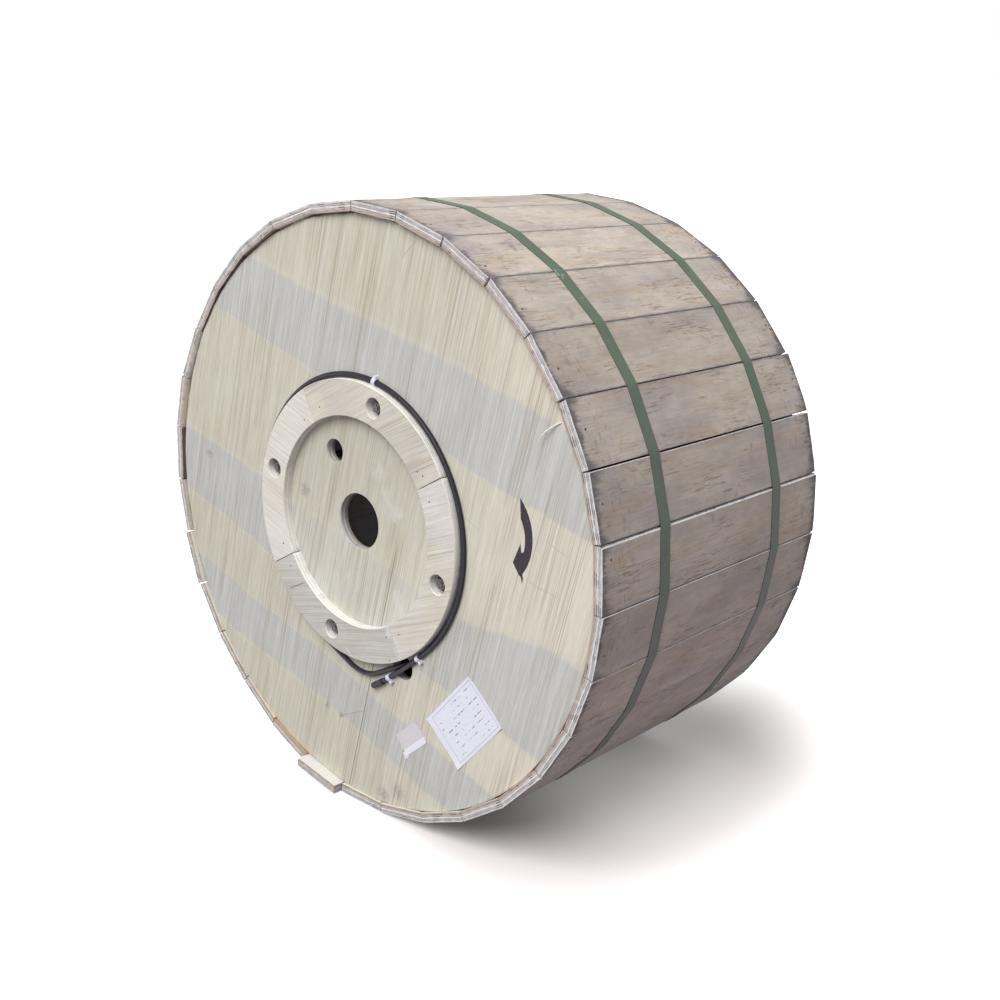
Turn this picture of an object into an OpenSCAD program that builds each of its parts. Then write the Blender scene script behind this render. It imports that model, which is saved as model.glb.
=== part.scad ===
// Wooden cable drum with its lagging on: two plywood flanges, hub rings, boards
// strapped round the rims, and the cable's inner end led out round the front ring.
// The drum axis is Y, the front flange faces -Y and +Z is up. Angles round the drum
// are clock angles: 0 at the top, clockwise as seen from the front.

/* [Flanges] */
// Diameter of both flanges
flange_d = 1050; // [900:10:1300]
// Thickness of the flange plywood
flange_t = 18; // [15:1:26]
// Distance between the outer faces of the flanges
drum_w = 592; // [450:1:800]
// Diameter of the spindle bore
spindle_d = 100; // [60:1:120]
// Diameter of the drive pin hole
drive_d = 43; // [30:1:55]
// Distance of the drive pin hole from the drum axis
drive_r = 131; // [110:1:140]
// Clock angle of the drive pin hole
drive_angle = -28.4; // [-60:0.1:60]

/* [Hub rings] */
// Outer diameter of a hub ring
hub_ring_od = 503; // [450:1:580]
// Radial width of a hub ring
hub_ring_w = 63; // [55:1:70]
// Thickness of a hub ring
hub_ring_t = 18; // [14:1:30]
// Gap between the ends of neighbouring ring segments
hub_seam = 1.5; // [0.5:0.1:4]
// Diameter of the bolt hole in a ring segment
bolt_hole_d = 36; // [35:1:42]
// Clock angle of the first bolt hole
bolt_angle = 15.5; // [0:0.1:40]

/* [Tie rods] */
// Diameter of a tie rod
rod_d = 10; // [8:1:12]
// Distance across the flats of a nut
nut_flats = 17; // [15:1:22]
// Height of a nut
nut_h = 8; // [6:0.5:9]
// Diameter of a washer
washer_d = 30; // [26:1:34]
// Thickness of a washer
washer_t = 2.5; // [2:0.5:3]
// Length of rod that shows past the nut
rod_end = 2; // [1:0.5:3]

/* [Barrel and winding] */
// Wall thickness of the barrel
barrel_wall = 12; // [8:1:25]
// Radial room between the tie rods and the barrel
barrel_room = 2.5; // [1:0.5:12]
// Depth of the winding below the flange rim
winding_depth = 70; // [40:1:120]
// Least room between the winding and a flange
winding_gap = 6; // [3:0.5:20]

/* [Lagging] */
// Number of boards round the drum
batten_count = 31; // [26:1:36]
// Gap between neighbouring boards where they touch the rim
batten_gap = 1.8; // [0.5:0.1:6]
// Thickness of a board
batten_t = 18; // [12:1:28]

/* [Strapping] */
// Width of a strap
strap_w = 25; // [16:1:32]
// Thickness of a strap
strap_t = 1; // [0.6:0.1:1.5]
// Distance of the front strap from the front flange face
front_strap_in = 148; // [80:1:190]
// Distance of the back strap from the back flange face
back_strap_in = 120; // [80:1:190]

/* [Cable tail] */
// Diameter of the cable
cable_d = 9; // [6:0.5:10]
// Bend radius of the cable, in cable diameters
bend_ratio = 4; // [3:0.1:4.5]
// Room round the cable where it bends out through the flange
exit_room = 7.5; // [6:0.5:12]
// Gap between the ring and the cable where it turns out of the flange
exit_gap = 4.5; // [1:0.5:7]
// Distance of the exit hole's middle outside the cable's path
exit_shift = 4; // [1:0.5:8]
// Clock angle where the cable turns out of the flange
exit_angle = 152; // [148:0.5:156]
// Clock angle where the cable comes back to the ring
rejoin_angle = 203.5; // [196:0.5:210]
// Radius of the loose bend between those two
loose_bend = 85; // [50:1:95]
// Clock angle where the tail leaves the ring
leave_angle = 136.5; // [130:0.5:138]
// Radius of the tail's gentle curve past the ring
tail_curve = 930; // [700:10:1500]
// Length of the tail past the ring
tail_len = 173; // [160:1:190]
// Wall of the shrunk end cap
cap_wall = 0.9; // [0.5:0.1:1.5]
// Length of the end cap on the cable
cap_len = 28; // [20:1:32]

/* [Clips] */
// Wall of a cable clip
clip_wall = 1.8; // [1.2:0.1:2.5]
// Width of a clip along the cable
clip_w = 8; // [5:0.5:10]
// Diameter of the nail boss beside the cable
clip_boss_d = 6.5; // [5:0.5:9]
// Height of the nail boss
clip_boss_h = 8; // [5:0.5:12]
// Clock angle of the clip on the ring
ring_clip_angle = 11; // [0:0.5:40]
// Place of the second clip along the tail
tail_clip_a = 32; // [20:1:45]
// Place of the third clip along the tail
tail_clip_b = 125; // [105:1:130]

/* [Hidden] */
// Clearance where a flat board meets the round rim
seat_gap = 0.2;
// Clearance round parts that slip over each other
slip_gap = 0.3;
// Length added to cutting tools so that they pass right through
cut = 1;
// Number of segments in a hub ring, and of tie rods
SEGMENTS = 4;

half_w = drum_w / 2;
inner_w = drum_w - 2 * flange_t;
batten_r = flange_d / 2 + seat_gap;
batten_face_r = batten_r + batten_t;
batten_step = 360 / batten_count;
batten_w = 2 * batten_r * tan(batten_step / 2) - batten_gap;
hub_ring_r = hub_ring_od / 2;
bolt_r = hub_ring_r - hub_ring_w / 2;
barrel_id = 2 * (bolt_r + rod_d / 2 + barrel_room);
barrel_od = barrel_id + 2 * barrel_wall;
cable_r = cable_d / 2;
cable_bend = bend_ratio * cable_d;
exit_hole_d = cable_bend + cable_r + exit_room;
// Depth behind the front face at which the winding ends and the tail starts
winding_in = max(flange_t + winding_gap, cable_bend - cable_r);
winding_len = drum_w - 2 * winding_in;
winding_id = barrel_od + 2 * slip_gap;
winding_od = flange_d - 2 * winding_depth;
// Radius of the cable's path round the ring, with the clip's lip between them
clip_bore_r = cable_r + slip_gap;
path_r = hub_ring_r + slip_gap + clip_wall + clip_bore_r;
// Radius of the cable's path where it turns out of the flange
exit_path_r = hub_ring_r + exit_gap + cable_r;
exit_hole_along = cable_bend - exit_hole_d / 2 + exit_room / 2;
cap_r = cable_r + slip_gap + cap_wall;
cap_lift = cap_r - cable_r;

// Distance that each board stands out past the flange faces, clockwise from the bottom board
front_overhang = [
    5, 25, 5, 3, 4, 5, 8, 6, 8, 9, 7, 5, 7, 9, 8, 10,
    11, 13, 13, 12, 14, 10, 9, 7, 4, 3, 2, 5, 6, 5, 5
];
back_overhang = [
    13, 6, 14, 16, 15, 12, 10, 13, 11, 9, 14, 15, 12, 8, 11, 9,
    7, 6, 8, 9, 12, 20, 17, 18, 14, 15, 16, 13, 12, 14, 13
];

$fn = 64;

// Places its children at a clock angle, on the circle of radius r
module at_clock(angle, r = 0) {
    rotate([0, angle, 0])
        translate([0, 0, r])
            children();
}

// A round bar along Y from y0 to y0 + len
module bar_y(d, y0, len) {
    translate([0, y0, 0])
        rotate([-90, 0, 0])
            cylinder(d = d, h = len);
}

// Children at every bolt position
module at_bolts() {
    for (k = [0:SEGMENTS - 1])
        at_clock(bolt_angle + k * 360 / SEGMENTS, bolt_r)
            children();
}

// Plywood disc from y0, with the holes that both flanges have
module flange_disc(y0) {
    through = flange_t + 2 * cut;
    difference() {
        bar_y(flange_d, y0, flange_t);
        bar_y(spindle_d, y0 - cut, through);
        at_clock(drive_angle, drive_r)
            bar_y(drive_d, y0 - cut, through);
        at_bolts()
            bar_y(rod_d + 2 * slip_gap, y0 - cut, through);
    }
}

module front_flange() {
    color("wheat")
        difference() {
            flange_disc(-half_w);
            at_clock(exit_angle, exit_path_r + exit_shift)
                translate([exit_hole_along, 0, 0])
                    bar_y(exit_hole_d, -half_w - cut, flange_t + 2 * cut);
        }
}

module back_flange() {
    color("wheat")
        flange_disc(half_w - flange_t);
}

// One quarter of a hub ring, with its outer face away from the drum's middle
module hub_segment(k, y0) {
    pitch = 360 / SEGMENTS;
    seam_angle = hub_seam / (2 * PI * bolt_r) * 360;
    mid = bolt_angle + (k - 1) * pitch;
    sweep = pitch - seam_angle;
    color("burlywood")
        difference() {
            rotate([0, mid - sweep / 2 - 90, 0])
                translate([0, y0, 0])
                    rotate([-90, 0, 0])
                        rotate_extrude(angle = sweep)
                            translate([hub_ring_r - hub_ring_w, 0])
                                square([hub_ring_w, hub_ring_t]);
            at_clock(mid, bolt_r)
                bar_y(bolt_hole_d, y0 - cut, hub_ring_t + 2 * cut);
        }
}

module barrel() {
    color("tan")
        difference() {
            bar_y(barrel_od, -inner_w / 2, inner_w);
            bar_y(barrel_id, -inner_w / 2 - cut, inner_w + 2 * cut);
        }
}

module wound_cable() {
    color("black")
        difference() {
            bar_y(winding_od, -winding_len / 2, winding_len);
            bar_y(winding_id, -winding_len / 2 - cut, winding_len + 2 * cut);
        }
}

module tie_rods() {
    reach = half_w + washer_t + nut_h + rod_end;
    color("silver")
        at_bolts()
            bar_y(rod_d, -reach, 2 * reach);
}

module washers(y0) {
    color("silver")
        at_bolts()
            difference() {
                bar_y(washer_d, y0, washer_t);
                bar_y(rod_d + 2 * slip_gap, y0 - cut, washer_t + 2 * cut);
            }
}

module nuts(y0) {
    color("silver")
        at_bolts()
            difference() {
                translate([0, y0, 0])
                    rotate([-90, 0, 0])
                        cylinder(d = nut_flats / cos(30), h = nut_h, $fn = 6);
                bar_y(rod_d + slip_gap, y0 - cut, nut_h + 2 * cut);
            }
}

function batten_angle(i) = 180 + i * batten_step;

// One lagging board, flat against the rims of both flanges
module lagging_batten(i) {
    front = front_overhang[i % len(front_overhang)];
    back = back_overhang[i % len(back_overhang)];
    color("tan")
        at_clock(batten_angle(i), batten_r)
            translate([-batten_w / 2, -half_w - front, 0])
                cube([batten_w, front + drum_w + back, batten_t]);
}

// Corners of the closed line that runs over every board at a height above its face
function band_line(height) = [
    for (i = [0:batten_count - 1])
        for (side = [-1, 1])
            let (a = batten_angle(i))
            let (r = batten_face_r + height)
            let (along = side * (batten_w / 2 + height * tan(batten_step / 4)))
            [r * sin(a) + along * cos(a), r * cos(a) - along * sin(a)]
];

// A tight strap that bends over the two edges of each board
module strap(y_mid) {
    color("seagreen")
        translate([0, y_mid + strap_w / 2, 0])
            rotate([90, 0, 0])
                linear_extrude(strap_w)
                    difference() {
                        polygon(band_line(strap_t));
                        polygon(band_line(0));
                    }
}

// Directions across and along a path that heads the way of a clock angle
function outward(angle) = [sin(angle), 0, cos(angle)];
function onward(angle) = [cos(angle), 0, -sin(angle)];
FORWARD = [0, -1, 0];

// Where the first strand's straight line meets the line that comes back to the ring
loose_turn = rejoin_angle - exit_angle;
loose_corner = (path_r - exit_path_r * cos(loose_turn)) / sin(loose_turn);
loose_cut = loose_bend * tan(loose_turn / 2);
loose_start = loose_corner - loose_cut;
loose_centre = (exit_path_r - loose_bend) * outward(exit_angle) + loose_start * onward(exit_angle);
tail_centre = (path_r - tail_curve) * outward(leave_angle);
on_face = (half_w + cable_r) * FORWARD;

function tail_turn(along) = along / tail_curve * 180 / PI;
function tail_point(along, lift) =
    tail_centre + tail_curve * outward(leave_angle + tail_turn(along)) + on_face + lift * FORWARD;

BEND_STEPS = 7;
LOOSE_STEPS = 5;
RING_STEPS = 50;

// Stations of the cable: its point, the clock angle it heads for and its pitch out of the face
bend_stations = [
    for (k = [0:BEND_STEPS])
        let (turn = 90 * k / BEND_STEPS)
        let (along = cable_bend * (1 - cos(turn)))
        let (out = half_w + cable_r - cable_bend * (1 - sin(turn)))
        [exit_path_r * outward(exit_angle) + along * onward(exit_angle) + out * FORWARD, exit_angle, 90 - turn]
];
loose_stations = [
    for (k = [0:LOOSE_STEPS])
        let (a = exit_angle + loose_turn * k / LOOSE_STEPS)
        [loose_centre + loose_bend * outward(a) + on_face, a, 0]
];
ring_stations = [
    for (k = [0:RING_STEPS])
        let (a = rejoin_angle + (360 + leave_angle - rejoin_angle) * k / RING_STEPS)
        [path_r * outward(a) + on_face, a, 0]
];
// Places along the tail, and the share of the cap's lift there
TAIL_STOPS = [[30, 0], [60, 0], [90, 0], [tail_clip_b + clip_w / 2, 0], [tail_len - cap_len, 1], [tail_len, 1]];
tail_stations = [
    for (stop = TAIL_STOPS)
        [tail_point(stop[0], stop[1] * cap_lift), leave_angle + tail_turn(stop[0]), 0]
];
winding_station = [
    exit_path_r * outward(exit_angle) + (half_w - winding_in) * FORWARD, exit_angle, 90
];
stations = concat(
    winding_in > cable_bend - cable_r ? [winding_station] : [],
    bend_stations, loose_stations, ring_stations, tail_stations
);

CABLE_SIDES = 12;

// Corners of the cable's round section at one station
function section(station) =
    let (side = outward(station[1]))
    let (up = cos(station[2]) * FORWARD - sin(station[2]) * onward(station[1]))
    [
        for (j = [0:CABLE_SIDES - 1])
            let (a = 360 * j / CABLE_SIDES)
            station[0] + cable_r * (cos(a) * side + sin(a) * up)
    ];

// A tube swept through all stations, closed at both ends
module swept_cable(stations) {
    last = len(stations) - 1;
    walls = [
        for (i = [0:last - 1])
            for (j = [0:CABLE_SIDES - 1])
                let (a = i * CABLE_SIDES + j)
                let (b = i * CABLE_SIDES + (j + 1) % CABLE_SIDES)
                for (face = [[a, a + CABLE_SIDES, b + CABLE_SIDES], [a, b + CABLE_SIDES, b]])
                    face
    ];
    first_end = [for (j = [0:CABLE_SIDES - 1]) j];
    last_end = [for (j = [CABLE_SIDES - 1:-1:0]) last * CABLE_SIDES + j];
    polyhedron(
        points = [for (s = stations) each section(s)],
        faces = concat(walls, [first_end, last_end])
    );
}

module cable_tail() {
    color("black")
        swept_cable(stations);
}

// Places its children on the tail's curve, with X along the cable and Z outward
module on_tail(along) {
    at_clock(leave_angle, path_r - tail_curve)
        at_clock(tail_turn(along), tail_curve)
            translate([0, -half_w, 0])
                children();
}

// Shrunk sleeve with a closed, rounded end
module cable_end_cap() {
    sleeve_r = cable_r + slip_gap;
    tip = cap_r;
    color("dimgray")
        on_tail(tail_len)
            translate([0, -cap_r, 0])
                rotate([0, 90, 0])
                    difference() {
                        union() {
                            translate([0, 0, -cap_len])
                                cylinder(r = cap_r, h = cap_len + slip_gap);
                            translate([0, 0, slip_gap])
                                intersection() {
                                    sphere(r = tip);
                                    cylinder(r = tip + cut, h = tip + cut);
                                }
                        }
                        translate([0, 0, -cap_len - cut])
                            cylinder(r = sleeve_r, h = cap_len + cut + slip_gap);
                    }
}

// Saddle clip on the flange face: X along the cable, Z on the nail's side
module cable_clip() {
    outer_r = clip_bore_r + clip_wall;
    boss_z = outer_r + clip_boss_d / 2 - clip_wall;
    color("aliceblue")
        union() {
            translate([-clip_w / 2, 0, 0])
                rotate([90, 0, 90])
                    linear_extrude(clip_w)
                        difference() {
                            union() {
                                translate([-cable_r, 0])
                                    circle(r = outer_r);
                                translate([-cable_r, -outer_r])
                                    square([cable_r, 2 * outer_r]);
                            }
                            translate([-cable_r, 0])
                                circle(r = clip_bore_r);
                            translate([-cable_r, -clip_bore_r])
                                square([cable_d, 2 * clip_bore_r]);
                            translate([0, -2 * outer_r])
                                square([outer_r, 4 * outer_r]);
                        }
            translate([0, 0, boss_z])
                bar_y(clip_boss_d, -clip_boss_h, clip_boss_h);
        }
}

module ring_clip() {
    at_clock(ring_clip_angle, path_r)
        translate([0, -half_w, 0])
            cable_clip();
}

front_flange();
back_flange();
barrel();
wound_cable();
for (k = [1:SEGMENTS]) {
    hub_segment(k, -half_w - hub_ring_t);
    hub_segment(k, half_w);
}
tie_rods();
washers(-half_w - washer_t);  // front_washers
washers(half_w);  // back_washers
nuts(-half_w - washer_t - nut_h);  // front_nuts
nuts(half_w + washer_t);  // back_nuts
for (i = [1:batten_count])
    lagging_batten(i - 1);
strap(front_strap_in - half_w);  // front_strap
strap(half_w - back_strap_in);  // back_strap
cable_tail();
cable_end_cap();
ring_clip();
on_tail(tail_clip_a) cable_clip();  // tail_clip_1
on_tail(tail_clip_b) cable_clip();  // tail_clip_2
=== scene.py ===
# Looks for the wooden cable drum: plywood faces, worn lagging boards, strapping, the clipped cable end,
# paper labels and the painted turning arrow. Metres, in the same frame as the solids.
import math
import random

import bmesh
import bpy
from mathutils import Matrix, Vector, noise


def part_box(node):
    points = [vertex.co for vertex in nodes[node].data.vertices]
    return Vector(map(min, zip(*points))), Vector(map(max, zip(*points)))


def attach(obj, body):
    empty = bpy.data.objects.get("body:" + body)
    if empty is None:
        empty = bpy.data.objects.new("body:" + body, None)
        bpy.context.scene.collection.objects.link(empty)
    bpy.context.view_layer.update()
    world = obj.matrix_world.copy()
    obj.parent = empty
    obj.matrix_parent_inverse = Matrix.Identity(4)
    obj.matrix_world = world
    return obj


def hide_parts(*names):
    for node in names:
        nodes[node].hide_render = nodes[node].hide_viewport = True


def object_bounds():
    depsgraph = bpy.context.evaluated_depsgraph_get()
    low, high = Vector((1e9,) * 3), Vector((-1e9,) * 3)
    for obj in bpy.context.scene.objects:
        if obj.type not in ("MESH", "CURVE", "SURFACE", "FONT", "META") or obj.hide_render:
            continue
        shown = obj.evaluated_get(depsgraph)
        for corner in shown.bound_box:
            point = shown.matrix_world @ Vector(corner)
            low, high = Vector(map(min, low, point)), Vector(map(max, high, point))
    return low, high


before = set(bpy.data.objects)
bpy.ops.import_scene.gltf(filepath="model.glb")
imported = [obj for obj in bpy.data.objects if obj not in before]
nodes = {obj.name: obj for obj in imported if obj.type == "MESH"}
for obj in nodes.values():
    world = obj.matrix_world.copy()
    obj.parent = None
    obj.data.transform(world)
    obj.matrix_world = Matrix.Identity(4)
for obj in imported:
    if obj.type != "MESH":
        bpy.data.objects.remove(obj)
cad_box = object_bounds()

MM = 0.001
flange_low, flange_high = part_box("front_flange")
FRONT = flange_low.y
FLANGE_T = flange_high.y - flange_low.y
BOARDS = 31
BOARD_STEP = 360 / BOARDS
SEGMENTS = 4
PLIES = 5
PLY = FLANGE_T / PLIES

# Camera that took the photograph
CAMERA_AT = Vector((1.60292, -1.68741, 0.64681))
CAMERA_BACK = Vector((0.64858, -0.70972, 0.27504))
CAMERA_UP = Vector((-0.20011, 0.18964, 0.96124))
LENS = 45.594
SENSOR = 36

# Values between which a noise mostly stays, and a size so large that a pattern is the same all along it
NOISE_RANGE = (0.3, 0.7)
FLAT = 1000


def display(red, green, blue):
    """A colour as it shows on screen, from 0 to 255, as linear values."""
    return tuple(((c / 255 + 0.055) / 1.055) ** 2.4 for c in (red, green, blue))


class Tree:
    """A material's nodes, with short ways to add the ones used here."""

    def __init__(self, name):
        self.material = bpy.data.materials.new(name)
        self.material.use_nodes = True
        self.nodes = self.material.node_tree.nodes
        self.links = self.material.node_tree.links
        self.shader = self.nodes["Principled BSDF"]
        self.coords = self.nodes.new("ShaderNodeTexCoord")
        self.place = self.coords.outputs["Object"]

    def feed(self, socket, value):
        if isinstance(value, bpy.types.NodeSocket):
            self.links.new(value, socket)
        elif socket.type == "RGBA":
            socket.default_value = (*value, 1.0)
        else:
            socket.default_value = value

    def node(self, kind, inputs=None, **settings):
        made = self.nodes.new(kind)
        for key, value in settings.items():
            setattr(made, key, value)
        for key, value in (inputs or {}).items():
            self.feed(made.inputs[key], value)
        return made

    def math(self, operation, a, b=0.0):
        return self.node("ShaderNodeMath", {0: a, 1: b}, operation=operation).outputs[0]

    def part(self, vector, axis):
        return self.node("ShaderNodeSeparateXYZ", {0: vector}).outputs["XYZ".index(axis)]

    def space(self, sizes, turn=(0, 0, 0), shift=(0, 0, 0)):
        """The place turned and divided by sizes, so that a pattern of scale 1 has those sizes."""
        inputs = {"Vector": self.place, "Location": shift, "Rotation": turn, "Scale": sizes}
        return self.node("ShaderNodeMapping", inputs, vector_type="TEXTURE").outputs[0]

    def noise(self, sizes, detail=2.0, rough=0.5, turn=(0, 0, 0), shift=(0, 0, 0), warp=0.0):
        inputs = {
            "Vector": self.space(sizes, turn, shift), "Scale": 1.0, "Detail": detail,
            "Roughness": rough, "Distortion": warp,
        }
        return self.node("ShaderNodeTexNoise", inputs).outputs[0]

    def span(self, value, low, high, to=(0.0, 1.0), kind="SMOOTHSTEP"):
        """Value between low and high as a share from to[0] to to[1], held at its ends."""
        inputs = {"Value": value, "From Min": low, "From Max": high, "To Min": to[0], "To Max": to[1]}
        return self.node("ShaderNodeMapRange", inputs, interpolation_type=kind, clamp=True).outputs[0]

    def vary(self, value, low, high):
        """A noise over its usual range as a value from low to high."""
        return self.span(value, *NOISE_RANGE, (low, high))

    def ridge(self, value, width):
        """1 where a noise crosses its middle, falling to 0 at width from it."""
        return self.span(self.math("ABSOLUTE", self.math("SUBTRACT", value, 0.5)), width, 0.0)

    def mix(self, share, a, b):
        made = self.node("ShaderNodeMix", data_type="RGBA")
        self.feed(made.inputs[0], share)
        self.feed(made.inputs[6], a)
        self.feed(made.inputs[7], b)
        return made.outputs[2]

    def shade(self, colour, value):
        made = self.node("ShaderNodeVectorMath", operation="SCALE")
        self.feed(made.inputs[0], colour)
        self.feed(made.inputs["Scale"], value)
        return made.outputs[0]

    def product(self, *values):
        total = values[0]
        for value in values[1:]:
            total = self.math("MULTIPLY", total, value)
        return total

    def steps(self, value, low, high, edges):
        """0 and 1 by turns between the edges that value crosses, each with its own softness."""
        ramp = self.node("ShaderNodeValToRGB", {0: self.span(value, low, high, kind="LINEAR")})
        stops = ramp.color_ramp.elements
        stops[0].position = 0.0
        stops[0].color = (0, 0, 0, 1)
        stops.remove(stops[1])
        level = 0
        for edge, soft in edges:
            for offset in (-soft, soft):
                stop = stops.new((edge + offset - low) / (high - low))
                stop.color = (level, level, level, 1)
                level = 1 - level if offset < 0 else level
        return ramp.outputs[0]

    def stroke(self, start, end, width):
        """1 along a straight mark on a face that looks along Y, from start to end, (x, z) in millimetres."""
        reach = Vector((end[0] - start[0], end[1] - start[1])) * MM
        turn = (0, math.atan2(reach.x, reach.y), 0)
        local = self.space((1, 1, 1), turn, (start[0] * MM, 0, start[1] * MM))
        side = self.math("ABSOLUTE", self.part(local, "X"))
        along = self.part(local, "Z")
        ends = self.product(self.span(along, 0.0, 0.2 * reach.length),
                            self.span(along, reach.length, 0.8 * reach.length))
        return self.product(self.span(side, width * MM / 2, width * MM / 5), ends)

    def length(self, vector):
        return self.node("ShaderNodeVectorMath", {0: vector}, operation="LENGTH").outputs["Value"]

    def spot(self, centre, radii):
        """1 at a place, fading out at its radii along X, Y and Z, all in millimetres."""
        local = self.space([r * MM for r in radii], shift=[c * MM for c in centre])
        return self.span(self.length(local), 1.0, 0.2)

    def bands(self, share, colours):
        """The colours in equal bands as share goes from 0 to 1."""
        ramp = self.node("ShaderNodeValToRGB", {0: share})
        ramp.color_ramp.interpolation = "CONSTANT"
        stops = ramp.color_ramp.elements
        stops.remove(stops[1])
        stops[0].position = 0.0
        stops[0].color = (*colours[0], 1)
        for n, colour in enumerate(colours[1:], 1):
            stops.new(n / len(colours)).color = (*colour, 1)
        return ramp.outputs[0]

    def most(self, values):
        total = values[0]
        for value in values[1:]:
            total = self.math("MAXIMUM", total, value)
        return total

    def finish(self, colour, roughness, height, depth, **sockets):
        """The material with its colour, roughness, a bump of that depth, and other sockets by name."""
        self.feed(self.shader.inputs["Base Color"], colour)
        self.feed(self.shader.inputs["Roughness"], roughness)
        for name, value in sockets.items():
            self.feed(self.shader.inputs[name.replace("_", " ")], value)
        bump = self.node("ShaderNodeBump", {"Height": height, "Strength": 1.0, "Distance": depth})
        self.links.new(bump.outputs[0], self.shader.inputs["Normal"])
        return self.material


# Colours of the wood as they show in plain light
WARM_VENEER = display(203, 199, 182)
LIGHT_VENEER = display(218, 213, 196)
COOL_VENEER = display(191, 192, 189)
BAND_LINE = display(226, 216, 184)
GRAIN_BROWN = display(160, 146, 126)
GRAIN_PALE = display(228, 226, 222)
SEAM_BROWN = display(122, 102, 88)
GLUE_BROWN = display(106, 95, 90)
# Dark of the hollows in the plies, and of the painted shadow along the flange rim
HOLLOW_AND_SHADOW = display(71, 64, 63)
DIRT = display(96, 90, 98)

# Plies of a cut edge from the outer face inward: on the boards and flanges, and on the cleaner ring
PLY_TONES = [
    display(223, 223, 223), display(194, 189, 185), display(228, 227, 225), display(199, 193, 187),
    display(192, 174, 157),
]
RING_PLY_TONES = [
    display(250, 249, 246), display(238, 235, 228), display(248, 246, 241), display(234, 229, 221),
    display(246, 243, 236),
]

# Flange veneer: lean of the grain from upright, where its tinted bands change along the grain, and its seam
GRAIN_LEAN = math.radians(15)
BAND_EDGES = [(-398, 7), (-297, 4), (-181, 6), (-43, 9), (212, 3), (355, 12)]
BAND_REACH, BAND_RISE = 560 * MM, 55 * MM
RIM_STREAKS = (0.02, 0.0009, 0.02)
VENEER_SEAM, TWIN_SEAM = 100 * MM, 6 * MM
# Painted shadow of the boards' overhang along the flange rim, between these radii
RIM_DARK_FROM, RIM_DARK_TO = 522 * MM, 525 * MM
# Inner disc inside the ring: the bands fade there, and it carries painted shade at its top and painted
# reflected light at its bottom
DISC_R, DISC_SOFT = 190 * MM, 20 * MM

# Marks on the front face in millimetres: lines with their widths, smudges and pale patches with their radii
SCRATCHES = [((108, 459), (147, 493), 2.5), ((-70, -395), (20, -352), 3.5)]
PENCIL_LINES = [((425, 64), (475, 45), 2.5), ((387, -9), (458, -23), 3), ((250, 66), (292, 46), 2.5)]
SMUDGES = [(95, -486, 22), (57, -507, 20), (-95, -381, 12), (-56, -388, 10), (-440, 42, 14), (-146, 27, 20)]
PALE_PATCHES = [(67, 52, 34), (95, 32, 28), (50, 100, 26), (92, -114, 22), (109, -135, 20), (-50, -120, 40)]
PATCH_PALE = display(224, 221, 216)
PENCIL_GREY = display(160, 164, 178)
SMUDGE_GREY = display(126, 122, 124)


def veneer(tree, turn, seed, strength=1.0, scale=1.0):
    """Brightness of a peeled veneer whose grain is local Z turned about Y, and its brown and pale lines."""
    shift = (seed * 0.37, seed * 0.61, seed * 0.83)
    other = (seed * 0.53, seed * 0.29, seed * 0.47)
    broad = tree.noise((0.05 * scale, 1, 1.4), 2, turn=turn, shift=shift)
    middle = tree.noise((0.007 * scale, 1, 0.6), 3, 0.65, turn=turn, shift=shift)
    fine = tree.noise((0.0024, 1, 0.07), 2, 0.6, turn=turn, shift=shift)
    mottle = tree.noise((0.009, 1, 0.014), 3, 0.65, turn=turn, shift=other)
    layers = ((broad, 0.03 * strength), (middle, 0.06 * strength), (fine, 0.085), (mottle, 0.02))
    tone = 1.0
    for layer, reach in layers:
        tone = tree.math("ADD", tone, tree.vary(layer, -reach, reach))
    brown = tree.ridge(tree.noise((0.011 * scale, 1, 0.9), 1, turn=turn, shift=shift), 0.06)
    gaps = tree.span(tree.noise((0.04, 1, 0.3), 2, turn=turn, shift=shift), 0.42, 0.6)
    pale = tree.ridge(tree.noise((0.016 * scale, 1, 1.1), 1, turn=turn, shift=other), 0.06)
    return tone, tree.product(brown, gaps, 0.6 * strength), tree.product(pale, 0.3 * strength), middle


def lined(tree, colour, tone, brown, pale):
    """Veneer colour with its lines laid over it."""
    return tree.mix(pale, tree.mix(brown, tree.shade(colour, tone), GRAIN_BROWN), GRAIN_PALE)


def cut_edge(tree, depth, streaks, seed, rough, tones=PLY_TONES):
    """Colour of a cut plywood edge by depth below its face: plies with streaks, glue lines and hollows."""
    shift = (seed * 0.29, seed * 0.53, seed * 0.71)
    sway = tree.noise((0.03, 0.03, 0.03), 2, shift=shift)
    swayed = tree.math("ADD", depth, tree.vary(sway, -0.35 * MM, 0.35 * MM))
    layer = tree.math("DIVIDE", swayed, PLY)
    colour = tree.bands(tree.math("DIVIDE", layer, PLIES), tones)
    fibre = tree.noise(streaks, 3, 0.65, shift=shift)
    colour = tree.shade(colour, tree.vary(fibre, 1 - 0.3 * rough, 1 + 0.12 * rough))
    broken = tree.span(tree.noise((0.012, 0.012, 0.012), 2, shift=(seed, 1, 2)), 0.36, 0.56)
    glue = tree.product(tree.span(tree.math("PINGPONG", layer, 0.5), 0.14, 0.05), broken, rough)
    colour = tree.mix(glue, colour, GLUE_BROWN)
    hollow = tree.span(tree.noise((0.024, 0.024, 0.024), 3, shift=(seed, seed, seed)), 0.58, 0.62)
    near_glue = tree.span(tree.math("PINGPONG", layer, 0.5), 0.24, 0.16)
    return tree.mix(tree.product(hollow, near_glue, rough), colour, HOLLOW_AND_SHADOW)


def face_spot(tree, x, z, radius):
    """1 at a place on a face that looks along Y, fading out at radius, all in millimetres."""
    return tree.spot((x, 0, z), (radius, FLAT / MM, radius))


def flat_faces(tree):
    """1 on the faces that look along Y, 0 on the edges round them."""
    upright = tree.math("ABSOLUTE", tree.part(tree.coords.outputs["Normal"], "Y"))
    return tree.span(upright, 0.6, 0.8)


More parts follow.
